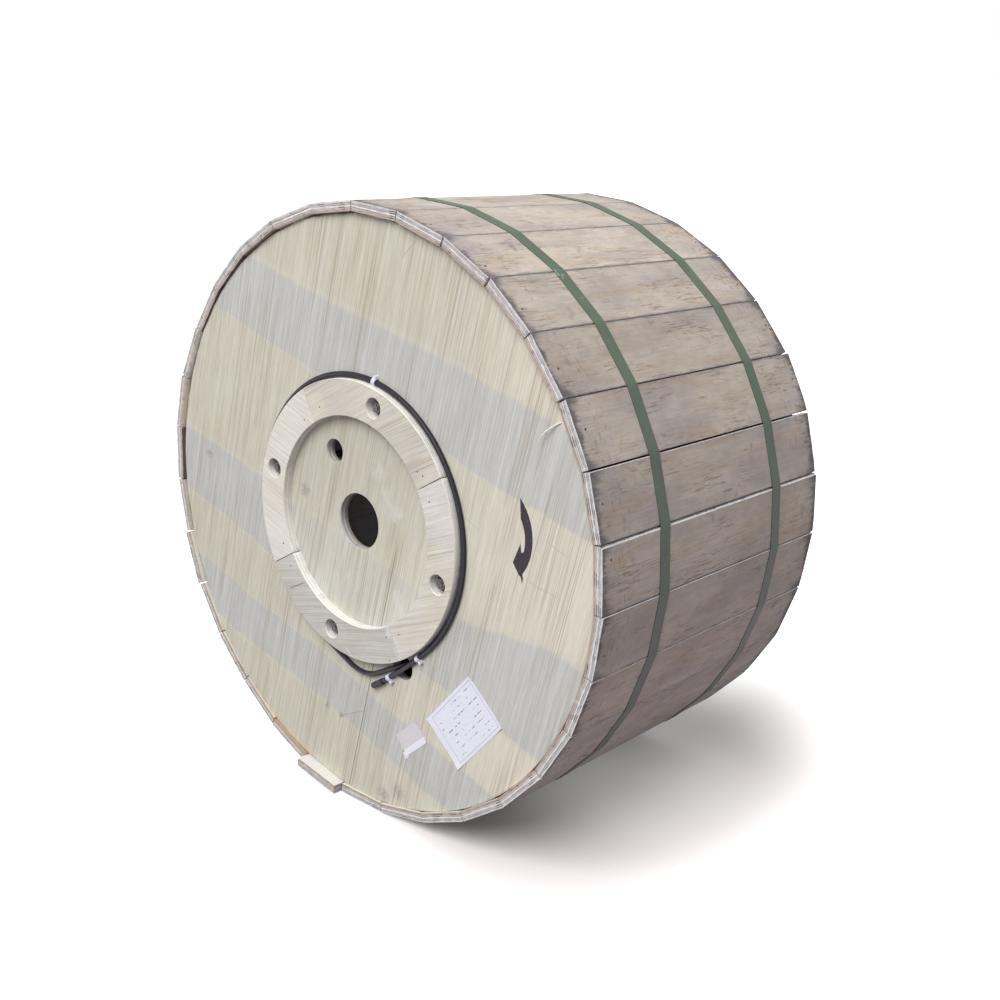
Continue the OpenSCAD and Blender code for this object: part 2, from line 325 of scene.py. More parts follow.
def face_marks(tree, colour):
    """Pale patches, scratches, pencil lines and smudges laid over the front face."""
    scratches = tree.most([tree.stroke(*mark) for mark in SCRATCHES])
    pencil = tree.most([tree.stroke(*mark) for mark in PENCIL_LINES])
    smudge = tree.most([face_spot(tree, *mark) for mark in SMUDGES])
    mottle = tree.span(tree.noise((0.008, 0.008, 0.008), 3, 0.6), 0.35, 0.6, (0.1, 0.5))
    patch = tree.most([face_spot(tree, *mark) for mark in PALE_PATCHES])
    patch = tree.product(patch, tree.span(tree.noise((0.03, 0.03, 0.03), 3, 0.6), 0.4, 0.6, (0.0, 0.45)))
    colour = tree.mix(patch, colour, PATCH_PALE)
    colour = tree.mix(tree.product(scratches, 0.5), colour, GRAIN_BROWN)
    colour = tree.mix(tree.product(pencil, 0.35), colour, PENCIL_GREY)
    return tree.mix(tree.product(smudge, mottle), colour, SMUDGE_GREY)


def flange_plywood(name, seed, marked):
    """Flange veneer in tinted bands across its grain, with a seam, a painted shadow along its rim, painted
    shade and light on the inner disc, and plies at its edge.
    """
    tree = Tree(name)
    turn = (0, GRAIN_LEAN, 0)
    grain = tree.space((1, 1, 1), turn)
    along = tree.part(grain, "Z")
    across = tree.part(grain, "X")
    tone, brown, pale, middle = veneer(tree, turn, seed, scale=0.45)
    sway = tree.noise((0.06, 0.06, 0.06), 2, shift=(seed, 0, 0))
    wander = tree.noise((0.4, 0.4, 0.4), 1, shift=(seed, 4, 0))
    edge_place = tree.math("ADD", along, tree.vary(sway, -2 * MM, 2 * MM))
    edge_place = tree.math("ADD", edge_place, tree.vary(wander, -7 * MM, 7 * MM))
    middle_band = tree.product(tree.span(along, -0.15, -0.08), tree.span(along, 0.15, 0.06))
    rise = tree.product(middle_band, tree.span(across, 0.2, 0.5), BAND_RISE)
    edge_place = tree.math("SUBTRACT", edge_place, rise)
    edges = [(edge * MM, soft * MM) for edge, soft in BAND_EDGES]
    bands = tree.steps(edge_place, -BAND_REACH, BAND_REACH, edges)
    from_axis = tree.length(tree.space((1, FLAT, 1)))
    outside = tree.span(from_axis, DISC_R - DISC_SOFT, DISC_R)
    fade = tree.span(outside, 0.0, 1.0, (0.4, 0.85))
    colour = tree.mix(tree.span(across, 0.0, 0.5), WARM_VENEER, LIGHT_VENEER)
    colour = tree.mix(tree.product(bands, fade), colour, COOL_VENEER)
    line = tree.product(tree.ridge(bands, 0.45), fade, 0.35)
    colour = lined(tree, tree.mix(line, colour, BAND_LINE), tone, brown, pale)
    # Painted shade at the top of the inner disc under the ring, and painted light reflected from the ring
    # wall at its bottom
    lower = tree.span(tree.part(tree.place, "Z"), 0.13, -0.13, (0.92, 1.08))
    colour = tree.mix(outside, tree.shade(colour, lower), colour)
    # Painted shadow along the rim under the boards' overhang, strongest at the upper left
    rim = tree.math("ADD", from_axis, tree.vary(sway, -2 * MM, 2 * MM))
    upper_left = tree.math("SUBTRACT", tree.part(tree.place, "Z"), tree.part(tree.place, "X"))
    rim = tree.span(rim, RIM_DARK_FROM, RIM_DARK_TO)
    colour = tree.mix(tree.product(rim, tree.span(upper_left, 0.0, 0.5, (0.2, 0.8))), colour, HOLLOW_AND_SHADOW)
    seam_off = tree.math("SUBTRACT", across, VENEER_SEAM)
    seam = tree.span(tree.math("ABSOLUTE", seam_off), 1.9 * MM, 0.6 * MM)
    twin = tree.span(tree.math("ABSOLUTE", tree.math("SUBTRACT", seam_off, TWIN_SEAM)), 1.6 * MM, 0.5 * MM)
    twin = tree.product(twin, tree.span(along, -0.3, -0.36), 0.6)
    seam = tree.product(tree.math("MAXIMUM", seam, twin), tree.span(along, 0.03, -0.03))
    colour = tree.mix(tree.product(seam, 0.7), colour, SEAM_BROWN)
    if marked:
        colour = face_marks(tree, colour)
    depth = tree.math("SUBTRACT", tree.part(tree.place, "Y"), FRONT)
    edge = tree.shade(cut_edge(tree, depth, RIM_STREAKS, seed, 0.5), 0.85)
    colour = tree.mix(flat_faces(tree), edge, colour)
    height = tree.math("SUBTRACT", middle, tree.product(seam, 1.5))
    return tree.finish(colour, 0.78, height, 0.2 * MM, Specular_IOR_Level=0.3)


# Each ring segment: the rise of its grain in degrees, its two tones, and how strong its lines are
RING_SEGMENTS = [
    (27, display(203, 198, 188), display(215, 209, 193), 0.9),
    (22, display(214, 208, 193), display(218, 215, 208), 0.7),
    (15, display(195, 191, 183), display(200, 198, 191), 0.8),
    (-18, display(228, 225, 217), display(225, 220, 209), 0.6),
]

# Marks on one ring segment, in millimetres: a crack, scrapes with their widths, a patch with its radius
RING_CRACK = ((-182, -168), (-128, -140), 3)
RING_SCRAPES = [((-22, -235), (2, -253), 4), ((105, -195), (123, -223), 3)]
RING_PATCH = (94, -176, 12)
MARKED_SEGMENT = 3
SCRAPE_PALE = display(232, 230, 228)


def ring_plywood(number, seed):
    """Veneer of one ring segment, with its own grain and tones, and clean plies at its walls, which carry
    painted shade where they face down.
    """
    grain, tone_a, tone_b, strength = RING_SEGMENTS[number - 1]
    tree = Tree(f"ring_plywood_{number}")
    turn = (0, math.radians(90 - grain), 0)
    tone, brown, pale, middle = veneer(tree, turn, seed, strength, 0.55)
    cloud = tree.span(tree.noise((0.11, 0.11, 0.11), 1, shift=(seed, 2, 0)), 0.38, 0.62)
    colour = lined(tree, tree.mix(cloud, tone_a, tone_b), tone, brown, pale)
    if number == MARKED_SEGMENT:
        scrapes = tree.most([tree.stroke(*mark) for mark in RING_SCRAPES] + [face_spot(tree, *RING_PATCH)])
        colour = tree.mix(tree.product(scrapes, 0.6), colour, SCRAPE_PALE)
        colour = tree.mix(tree.product(tree.stroke(*RING_CRACK), 0.7), colour, SEAM_BROWN)
    depth = tree.math("ADD", tree.math("ABSOLUTE", tree.part(tree.place, "Y")), FRONT)
    wall = cut_edge(tree, depth, RIM_STREAKS, seed, 0.3, RING_PLY_TONES)
    # Painted shade: walls darker where they face down
    wall = tree.shade(wall, tree.span(tree.part(tree.coords.outputs["Normal"], "Z"), 0.2, -0.6, (1.0, 0.8)))
    colour = tree.mix(flat_faces(tree), wall, colour)
    return tree.finish(colour, 0.76, middle, 0.2 * MM, Specular_IOR_Level=0.3)


# Lagging boards: size for the dirt on them, more of it at their back ends, streaks of their plies, colours
BOARD_LEN, BOARD_W, BOARD_OUT = 610 * MM, 106 * MM, 543.2 * MM
BACK_DIRT = 5 * MM
BOARD_STREAKS = (0.014, 0.02, 0.0009)
BOARD_GREYS = (display(183, 174, 168), display(205, 196, 185))
FIGURE_TAN = display(186, 162, 132)
DASH_BROWN = display(144, 121, 103)


def board_dirt(tree, share):
    """Grey dirt on a board's outer face: along its ends, in its corners and thinly down its sides."""
    from_end = tree.product(tree.math("PINGPONG", tree.part(share, "Y"), 0.5), BOARD_LEN)
    from_side = tree.product(tree.math("PINGPONG", tree.part(share, "X"), 0.5), BOARD_W)
    grime = tree.noise((0.004, 0.03, 1), 4, 0.65)
    blot = tree.noise((0.035, 0.045, 1), 3, shift=(9, 1, 0))
    ragged = tree.math("ADD", from_end, tree.vary(blot, -6 * MM, 6 * MM))
    ragged = tree.math("ADD", ragged, tree.vary(grime, -5 * MM, 5 * MM))
    ragged = tree.math("ADD", ragged, tree.span(tree.part(share, "Y"), 0.6, 0.9, (0.0, -BACK_DIRT)))
    end = tree.span(ragged, 16 * MM, 0.0, (0.0, 0.85))
    veil = tree.span(ragged, 60 * MM, 5 * MM, (0.0, 0.12))
    corner = tree.math("ADD", ragged, tree.product(from_side, 0.9))
    corner = tree.span(corner, 42 * MM, 6 * MM, (0.0, 0.85))
    edge = tree.math("ADD", from_side, tree.vary(grime, -2.5 * MM, 2.5 * MM))
    edge = tree.span(edge, 3 * MM, 0.3 * MM, (0.0, 0.3))
    smudge = tree.span(blot, 0.66, 0.76, (0.0, 0.35))
    rub = tree.span(tree.noise((0.016, 0.006, 1), 3, shift=(3, 7, 0)), 0.54, 0.7, (0.0, 0.35))
    rub = tree.product(rub, tree.span(from_end, 100 * MM, 50 * MM))
    return tree.most([end, veil, corner, edge, smudge, rub])


def batten_plywood():
    """Weathered board: streaks and dashes along it, tan figure, dirt outside, plies at its cut edges."""
    tree = Tree("batten_plywood")
    info = tree.node("ShaderNodeObjectInfo")
    chance = info.outputs["Random"]
    offset = tree.shade((31, 47, 0), chance)
    local = tree.coords.outputs["Object"]
    tree.place = tree.node("ShaderNodeVectorMath", {0: local, 1: offset}, operation="ADD").outputs[0]
    broad = tree.noise((0.05, 0.14, 1), 3)
    figure = tree.noise((0.045, 0.24, 1), 2, warp=0.9)
    streak = tree.noise((0.0018, 0.05, 1), 3, 0.6)
    mottle = tree.noise((0.012, 0.022, 1), 4, 0.65, shift=(4, 1, 0))
    dash = tree.noise((0.0021, 0.03, 1), 2, 0.55, warp=0.2)
    dash_zone = tree.span(tree.noise((0.032, 0.12, 1), 2, shift=(2, 5, 0)), 0.47, 0.6)
    colour = tree.mix(tree.span(broad, 0.32, 0.68), *BOARD_GREYS)
    loops = tree.span(tree.math("PINGPONG", tree.product(figure, 6.0), 0.5), 0.09, 0.0)
    loops = tree.product(loops, tree.span(broad, 0.42, 0.55), 0.5)
    tan = tree.math("MAXIMUM", tree.span(figure, 0.52, 0.62, (0.0, 0.28)), loops)
    colour = tree.mix(tan, colour, FIGURE_TAN)
    colour = tree.shade(colour, tree.math("ADD", tree.vary(streak, 0.93, 1.06),
                                          tree.vary(mottle, -0.06, 0.06)))
    dashes = tree.product(tree.span(dash, 0.54, 0.66), dash_zone)
    colour = tree.mix(tree.product(dashes, 0.7), colour, DASH_BROWN)
    colour = tree.mix(board_dirt(tree, tree.coords.outputs["Generated"]), colour, DIRT)
    own_tone = tree.product(tree.span(chance, 0.0, 1.0, (0.93, 1.04)), info.outputs["Alpha"])
    colour = tree.shade(colour, own_tone)
    outward = tree.part(tree.coords.outputs["Normal"], "Z")
    depth = tree.math("SUBTRACT", BOARD_OUT, tree.part(local, "Z"))
    plies = cut_edge(tree, depth, BOARD_STREAKS, 5, 0.85)
    # Inner faces take each board's own colour: real tints, and painted shade on some boards at the upper
    # left
    inner = tree.shade(info.outputs["Color"], tree.vary(streak, 0.93, 1.05))
    colour = tree.mix(tree.span(outward, 0.72, 0.92), plies, colour)
    colour = tree.mix(tree.span(outward, -0.6, -0.85), colour, inner)
    height = tree.math("SUBTRACT", streak, tree.product(dashes, 0.7))
    return tree.finish(colour, 0.84, height, 0.25 * MM, Specular_IOR_Level=0.25)


# Straps: where the front one's ends are joined, in millimetres, the size of that place, and the colours
STRAP_JOINT, STRAP_JOINT_SIZE = (319, -160, 444), (16, 20, 16)
STRAP_GREENS = (display(91, 105, 90), display(99, 114, 98))
# Greyer tone of the painted shade towards the floor
STRAP_LOW_SHADE = display(74, 68, 74)
STRAP_SCUFF = display(172, 184, 182)
# Painted shade on the strap's side faces
STRAP_SIDE_SHADE = display(46, 50, 46)


def strap_plastic():
    """Green strapping, scuffed where its ends are joined, with painted shade: greyer and darker towards the
    floor, and darker on its side faces.
    """
    tree = Tree("strap_plastic")
    scuff = tree.span(tree.noise((0.004, 0.02, 0.004), 3, 0.65), 0.6, 0.78, (0.0, 0.25))
    rubbed = tree.span(tree.noise((0.006, 0.006, 0.006), 2), 0.4, 0.6)
    joint = tree.product(tree.spot(STRAP_JOINT, STRAP_JOINT_SIZE), rubbed)
    colour = tree.mix(tree.vary(tree.noise((0.08, 0.08, 0.08), 2), 0.0, 1.0), *STRAP_GREENS)
    # Painted shade: greyer and darker towards the floor
    low_shade = tree.span(tree.part(tree.place, "Z"), 0.35, -0.3, (0.0, 0.65))
    colour = tree.mix(low_shade, colour, STRAP_LOW_SHADE)
    colour = tree.mix(tree.math("MAXIMUM", scuff, tree.product(joint, 0.8)), colour, STRAP_SCUFF)
    # Painted shade on the strap's side faces
    edge = tree.math("ABSOLUTE", tree.part(tree.coords.outputs["Normal"], "Y"))
    colour = tree.mix(tree.span(edge, 0.6, 0.9, (0.0, 0.7)), colour, STRAP_SIDE_SHADE)
    slant = tree.space((0.004, 0.003, 0.004), (0.6, 0.4, 0.5))
    ribs = tree.node("ShaderNodeTexWave", {"Vector": slant, "Scale": 1.0}, wave_type="BANDS").outputs[1]
    return tree.finish(colour, 0.6, ribs, 0.08 * MM, Specular_IOR_Level=0.25)


# The two tones of each plain material
CABLE_TONES = (display(38, 34, 44), display(52, 47, 58))
CAP_TONES = (display(44, 40, 46), display(58, 54, 60))
CLIP_TONES = (display(206, 212, 232), display(228, 230, 240))
ZINC_TONES = (display(72, 66, 70), display(114, 108, 110))
NAIL_TONES = (display(58, 52, 56), display(88, 74, 68))
BARREL_TONES = (display(226, 220, 224), display(236, 231, 234))
SPLINTER_TONES = (display(246, 244, 236), display(234, 228, 212))
PAINT_TONES = (display(62, 55, 64), display(170, 164, 158))


def two_tone(name, tones, sizes, detail, change, roughness, depth, **sockets):
    """A material whose two tones change over a noise, which is also its bump."""
    tree = Tree(name)
    patch = tree.noise(sizes, detail)
    colour = tree.mix(tree.span(patch, *change), *tones)
    return tree.finish(colour, roughness, patch, depth, **sockets)


def end_cap():
    return two_tone("end_cap", CAP_TONES, (0.006, 0.006, 0.006), 3, (0.35, 0.7), 0.55, 0.4 * MM,
                    Specular_IOR_Level=0.25)


def clip_plastic():
    return two_tone("clip_plastic", CLIP_TONES, (0.01, 0.01, 0.01), 2, (0.35, 0.65), 0.35, 0.1 * MM)


def nail_steel():
    return two_tone("nail_steel", NAIL_TONES, (0.003, 0.003, 0.003), 3, (0.4, 0.65), 0.65, 0.1 * MM,
                    Metallic=0.4)


def barrel_board():
    return two_tone("barrel_board", BARREL_TONES, (0.01, 0.2, 0.01), 3, (0.35, 0.65), 0.9, 0.2 * MM)


def splinter_wood():
    return two_tone("splinter_wood", SPLINTER_TONES, (0.001, 0.001, 0.02), 2, (0.35, 0.65), 0.7, 0.1 * MM)


def cable_jacket(name="cable_jacket"):
    """Black jacket, duller where dust lies on it."""
    tree = Tree(name)
    dust = tree.noise((0.02, 0.02, 0.02), 3)
    colour = tree.mix(tree.span(dust, 0.45, 0.75), *CABLE_TONES)
    pores = tree.noise((0.004, 0.004, 0.004), 2)
    return tree.finish(colour, tree.vary(dust, 0.36, 0.5), pores, 0.05 * MM, Specular_IOR_Level=0.25)


def zinc_steel():
    """Dull zinc with bloom."""
    tree = Tree("zinc_steel")
    bloom = tree.noise((0.006, 0.006, 0.006), 4, 0.6)
    colour = tree.mix(tree.span(bloom, 0.35, 0.7), *ZINC_TONES)
    return tree.finish(colour, tree.vary(bloom, 0.45, 0.65), bloom, 0.1 * MM, Metallic=0.6)


def stencil_paint():
    """Black paint, worn through along the grain."""
    tree = Tree("stencil_paint")
    worn = tree.noise((0.0025, 0.0025, 0.006), 4, 0.7, turn=(0, GRAIN_LEAN, 0))
    colour = tree.mix(tree.span(worn, 0.64, 0.7), *PAINT_TONES)
    return tree.finish(colour, 0.75, worn, 0.05 * MM, Specular_IOR_Level=0.2)


# Labels on the front face: size, middle, upward direction, colours, and how far their corners lift
LABEL_W, LABEL_H = 103 * MM, 149 * MM
LABEL_MARGIN, LABEL_RAISE, LABEL_ROW = 6 * MM, 4 * MM, 11 * MM
LABEL_AT, LABEL_UP = (259.4 * MM, -295.7 * MM), (0.66, 0.75)
LABEL_WHITE, LABEL_INK = display(232, 234, 246), display(78, 82, 110)
POUCH_W, POUCH_H = 42 * MM, 67 * MM
POUCH_AT, POUCH_UP = (132.4 * MM, -368.9 * MM), (0.755, 0.655)
POUCH_STRIP = 10 * MM
LABEL_CURL, POUCH_CURL, TAB_CURL = 2 * MM, 1.2 * MM, 0.6 * MM
POUCH_WHITE, POUCH_GREY = display(232, 232, 240), display(212, 209, 213)
TAB_W, TAB_H, TAB_AT = 12 * MM, 11 * MM, (119 * MM, -405 * MM)


def label_paper(name, paper, ruled):
    """Stuck paper: ruled with a border and rows of broken dashes, or plain with a white strip."""
    tree = Tree(name)
    fibre = tree.noise((0.004, 0.004, 0.004), 3)
    colour = tree.mix(tree.span(fibre, 0.35, 0.65), paper, tuple(0.94 * c for c in paper))
    if ruled:
        across = tree.part(tree.place, "X")
        along = tree.math("SUBTRACT", tree.part(tree.place, "Y"), LABEL_RAISE)
        side = tree.math("SUBTRACT", tree.math("ABSOLUTE", across), LABEL_W / 2 - LABEL_MARGIN)
        end = tree.math("SUBTRACT", tree.math("ABSOLUTE", along), LABEL_H / 2 - LABEL_MARGIN - LABEL_RAISE)
        inside = tree.math("MAXIMUM", side, end)
        border = tree.span(tree.math("ABSOLUTE", inside), 0.5 * MM, 0.25 * MM)
        row = tree.math("PINGPONG", tree.math("ADD", across, LABEL_ROW / 2), LABEL_ROW / 2)
        dashes = tree.span(tree.noise((LABEL_ROW, LABEL_ROW, 1), 3, 0.7, shift=(0, 0.4, 0)), 0.5, 0.54)
        dashes = tree.product(dashes, tree.span(tree.noise((0.03, 0.03, 1), 1, shift=(0.2, 0, 0)), 0.4, 0.5))
        rules = tree.product(tree.span(row, 1.1 * MM, 0.6 * MM), tree.span(inside, -4 * MM, -5 * MM), dashes)
        ink = tree.math("MAXIMUM", tree.product(border, 0.7), tree.product(rules, 0.9))
        colour = tree.mix(ink, colour, LABEL_INK)
    else:
        strip = tree.span(tree.part(tree.place, "X"), POUCH_STRIP - 1 * MM, POUCH_STRIP)
        colour = tree.mix(strip, colour, POUCH_WHITE)
    return tree.finish(colour, 0.5, fibre, 0.05 * MM)


def add_mesh(name, bm, material, place=Matrix.Identity(4)):
    """A new piece from a bmesh, on the drum's one body."""
    mesh = bpy.data.meshes.new(name)
    bmesh.ops.recalc_face_normals(bm, faces=bm.faces)
    bm.to_mesh(mesh)
    bm.free()
    mesh.materials.append(material)
    piece = bpy.data.objects.new(name, mesh)
    bpy.context.scene.collection.objects.link(piece)
    piece.matrix_world = place
    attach(piece, "root")
    return piece


# How fine a tube's round section is
TUBE_STEPS = 6


def add_curve(name, points, radius, material, radii=None):
    """A smooth tube through points."""
    curve = bpy.data.curves.new(name, "CURVE")
    curve.dimensions = "3D"
    curve.bevel_depth = radius
    curve.bevel_resolution = TUBE_STEPS
    curve.use_fill_caps = True
    spline = curve.splines.new("POLY")
    spline.points.add(len(points) - 1)
    for i, point in enumerate(points):
        spline.points[i].co = (*point, 1.0)
        spline.points[i].radius = radii[i] if radii else 1.0
    curve.materials.append(material)
    piece = bpy.data.objects.new(name, curve)
    bpy.context.scene.collection.objects.link(piece)
    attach(piece, "root")
    return piece


# Rounded edges: of panels, straps and boards, what counts as one point, and what counts as an edge
PANEL_ROUND, STRAP_ROUND, BOARD_ROUND = 0.6 * MM, 0.2 * MM, 0.5 * MM
WELD_GAP = 0.01 * MM
ROUND_STEPS = 2
EDGE_ANGLE = math.radians(50)


def soften(piece, width):
    """Small rounded edges on a solid."""
    weld = piece.modifiers.new("weld", "WELD")
    weld.merge_threshold = WELD_GAP
    bevel = piece.modifiers.new("bevel", "BEVEL")
    bevel.width = width
    bevel.segments = ROUND_STEPS
    bevel.limit_method = "ANGLE"
    bevel.angle_limit = EDGE_ANGLE


# Lagging boards: the grid each is cut into, chips, ply steps and skew of its ends, and its uneven faces
BOARD_CUTS = (20, 36, 7)
CHIP_SIZE, CHIP_DEPTH, CHIP_FROM = 9 * MM, 2.2 * MM, 0.25
PLY_STEP, END_SKEW = 0.7 * MM, 2.5 * MM
UNEVEN, UNEVEN_RATE = 0.12 * MM, 14

# How far a board's sides lean over the gaps, and how far its two long edges sink, in millimetres
FLARES = (1.1 * MM, 1.6 * MM)
EDGE_REACH = 25 * MM
UPPER_SINK, LOWER_SINK = (0.0, 0.3), (0.1, 0.5)

# Boards by number, in millimetres: lower edges that sink further, worn upper edges, a slanting front end
SUNK_SIDES = {22: 1.6, 23: 1.6, 24: 1.3, 25: 0.8, 26: 0.4, 27: 0.9}
WORN_EDGES, WORN_LAYERS = {23: 1.2, 24: 3.4}, 2
FRONT_SKEWS = {2: -3.0}

# Boards by number: tone of the outer face, and colour of the inner one; the dark inner faces of boards 9,
# 12, 13 and 14, at the upper left, are painted shade
BOARD_TONES = {
    17: 1.04, 19: 1.06, 21: 0.92, 22: 0.97, 23: 0.92, 24: 0.9, 25: 0.87, 26: 1.04, 27: 1.15, 28: 0.93,
}
INNER_CREAM = display(226, 222, 211)
INNER_TINTS_AND_SHADE = {
    2: display(226, 224, 219), 3: display(192, 156, 128), 4: display(236, 226, 190),
    8: display(214, 206, 190), 9: display(106, 92, 90), 10: display(222, 212, 194),
    11: display(228, 228, 219), 12: display(112, 102, 100), 13: display(100, 87, 88),
    14: display(150, 142, 132),
}


def board_turn(k):
    return Matrix.Rotation(math.radians(180 + (k - 1) * BOARD_STEP), 4, "Y")


def board_corners(k):
    """Lowest and highest corner of a board in its own frame: X across, Y along, Z outward."""
    back = board_turn(k).inverted()
    local = [back @ v.co for v in nodes[f"lagging_batten_{k}"].data.vertices]
    low = Vector(min(p[a] for p in local) for a in range(3))
    high = Vector(max(p[a] for p in local) for a in range(3))
    return low, high


def lattice_box(low, high, cuts):
    """A box whose faces are cut into a grid, with its vertices by their grid place."""
    bm = bmesh.new()
    grid = {}

    def corner(*index):
        if index not in grid:
            co = [low[a] + (high[a] - low[a]) * index[a] / cuts[a] for a in range(3)]
            grid[index] = bm.verts.new(co)
        return grid[index]

    for axis in range(3):
        u, v = [a for a in range(3) if a != axis]
        for side in (0, cuts[axis]):
            for i in range(cuts[u]):
                for j in range(cuts[v]):
                    face = []
                    for di, dj in ((0, 0), (1, 0), (1, 1), (0, 1)):
                        index = [0, 0, 0]
                        index[axis], index[u], index[v] = side, i + di, j + dj
                        face.append(corner(*index))
                    bm.faces.new(face)
    return bm, grid


def worn_board(k, material):
    """A board with ragged ends, ply steps, uneven faces, and sides that lean over the gap beside it."""
    rng = random.Random(k)
    low, high = board_corners(k)
    bm, grid = lattice_box(low, high, BOARD_CUTS)
    ply_step = [[rng.uniform(0, PLY_STEP) for _ in range(BOARD_CUTS[2] + 1)] for _ in range(2)]
    skew = [rng.uniform(-END_SKEW, END_SKEW) for _ in range(2)]
    sunk = (rng.uniform(*UPPER_SINK) * MM, SUNK_SIDES.get(k, rng.uniform(*LOWER_SINK)) * MM)
    flare = [rng.uniform(*FLARES) / high.x for _ in range(2)]
    skew[0] = FRONT_SKEWS.get(k, skew[0] / MM) * MM
    shave = WORN_EDGES.get(k, 0.0) * MM
    seed = Vector((k * 3.1, k * 1.7, 0))
    for (i, j, layer), vert in grid.items():
        across = vert.co.x / (high.x - low.x)
        for end, last in ((0, 0), (1, BOARD_CUTS[1])):
            if j != last:
                continue
            spot = Vector((vert.co.x / CHIP_SIZE, vert.co.z / CHIP_SIZE, end * 9)) + seed
            chip = CHIP_DEPTH * max(0.0, noise.noise(spot) - CHIP_FROM)
            inset = ply_step[end][layer] + chip + abs(skew[end]) / 2 + skew[end] * across
            vert.co.y += inset if end == 0 else -inset
        wave = noise.noise(Vector((vert.co.x, vert.co.y, 0)) * UNEVEN_RATE + seed)
        uneven = UNEVEN * (1 + wave)
        if layer == BOARD_CUTS[2]:
            for side, drop in ((vert.co.x - low.x, sunk[0]), (high.x - vert.co.x, sunk[1])):
                vert.co.z -= drop * max(0.0, 1 - side / EDGE_REACH)
            vert.co.z -= uneven
        if i in (0, BOARD_CUTS[0]):
            vert.co.x -= math.copysign(uneven, vert.co.x)
        vert.co.x *= 1 + flare[vert.co.x > 0] * layer / BOARD_CUTS[2]
        if i == 0:
            vert.co.x += shave * max(0.0, 1 - (BOARD_CUTS[2] - layer) / WORN_LAYERS)
    board = add_mesh(f"lagging_board_{k:02d}", bm, material, board_turn(k))
    board.color = (*INNER_TINTS_AND_SHADE.get(k, INNER_CREAM), BOARD_TONES.get(k, 1))
    soften(board, BOARD_ROUND)
    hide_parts(f"lagging_batten_{k}")
    return low, high


# Nail heads: number of sides, and the rings of a head as shares of its radius and height
NAIL_SIDES = 10
NAIL_PROFILE = ((1.0, -0.3), (1.0, 0.35), (0.65, 0.85))


def dome(bm, centre, normal, radius, height, sides=NAIL_SIDES):
    """A low round nail head."""
    turn = normal.to_track_quat("Z", "Y").to_matrix()
    rings = []
    for share, lift in NAIL_PROFILE:
        ring = []
        for s in range(sides):
            a = 2 * math.pi * s / sides
            spot = Vector((radius * share * math.cos(a), radius * share * math.sin(a), height * lift))
            ring.append(bm.verts.new(centre + turn @ spot))
        rings.append(ring)
    for inner, outer in zip(rings[1:], rings):
        for s in range(sides):
            bm.faces.new((outer[s], outer[(s + 1) % sides], inner[(s + 1) % sides], inner[s]))
    bm.faces.new(rings[-1])
    bm.faces.new(rings[0][::-1])


# Cable end: the same route as its solid
CABLE_R = 4.5 * MM
CABLE_BEND = 36 * MM
EXIT_ANGLE, EXIT_R = 152, 260.5 * MM
REJOIN_ANGLE, LEAVE_ANGLE, PATH_R = 203.5, 136.5, 258.4 * MM
LOOSE_BEND = 85 * MM
TAIL_CURVE, TAIL_LEN = 930 * MM, 173 * MM
CAP_LEN, CAP_LIFT = 28 * MM, 1.2 * MM
CLIP_W, TAIL_CLIP = 8 * MM, 125 * MM
EXIT_STEPS, LOOSE_STEPS, RING_STEPS, TAIL_STEPS = 12, 16, 200, 32


def outward(angle):
    """Away from the axis at a clock angle from the top, seen from the front."""
    return Vector((math.sin(math.radians(angle)), 0, math.cos(math.radians(angle))))


def onward(angle):
    """Clockwise round the axis at that angle."""
    return Vector((math.cos(math.radians(angle)), 0, -math.sin(math.radians(angle))))


def cable_points():
    """Out of the winding, a loose bend back to the ring, round the ring, and the tail past it."""
    face = Vector((0, FRONT - CABLE_R, 0))
    points = []
    for k in range(EXIT_STEPS + 1):
        turn = math.radians(90 * k / EXIT_STEPS)
        along = CABLE_BEND * (1 - math.cos(turn))
        y = FRONT - CABLE_R + CABLE_BEND * (1 - math.sin(turn))
        points.append(EXIT_R * outward(EXIT_ANGLE) + along * onward(EXIT_ANGLE) + Vector((0, y, 0)))
    loose_turn = REJOIN_ANGLE - EXIT_ANGLE
    swing = math.radians(loose_turn)
    corner = (PATH_R - EXIT_R * math.cos(swing)) / math.sin(swing)
    start = corner - LOOSE_BEND * math.tan(swing / 2)
    centre = (EXIT_R - LOOSE_BEND) * outward(EXIT_ANGLE) + start * onward(EXIT_ANGLE) + face
    for k in range(LOOSE_STEPS + 1):
        points.append(centre + LOOSE_BEND * outward(EXIT_ANGLE + loose_turn * k / LOOSE_STEPS))
    sweep = 360 + LEAVE_ANGLE - REJOIN_ANGLE
    for k in range(RING_STEPS + 1):
        points.append(PATH_R * outward(REJOIN_ANGLE + sweep * k / RING_STEPS) + face)
    tail_centre = (PATH_R - TAIL_CURVE) * outward(LEAVE_ANGLE) + face
    rise_from, rise_to = TAIL_CLIP + CLIP_W / 2, TAIL_LEN - CAP_LEN
    for k in range(1, TAIL_STEPS + 1):
        along = TAIL_LEN * k / TAIL_STEPS
        share = min(1.0, max(0.0, (along - rise_from) / (rise_to - rise_from)))
        lift = Vector((0, -CAP_LIFT * share, 0))
        angle = LEAVE_ANGLE + math.degrees(along / TAIL_CURVE)
        points.append(tail_centre + TAIL_CURVE * outward(angle) + lift)
    return points


# Stuck papers: grid, gap and waves under them, where their corners start to lift, and thickness
PAPER_GRID = (14, 20)
PAPER_GAP, PAPER_WAVE = 0.25 * MM, 0.2 * MM
CURL_FROM, CURL_STRENGTH = 0.55, 5
PAPER_T = 0.15 * MM


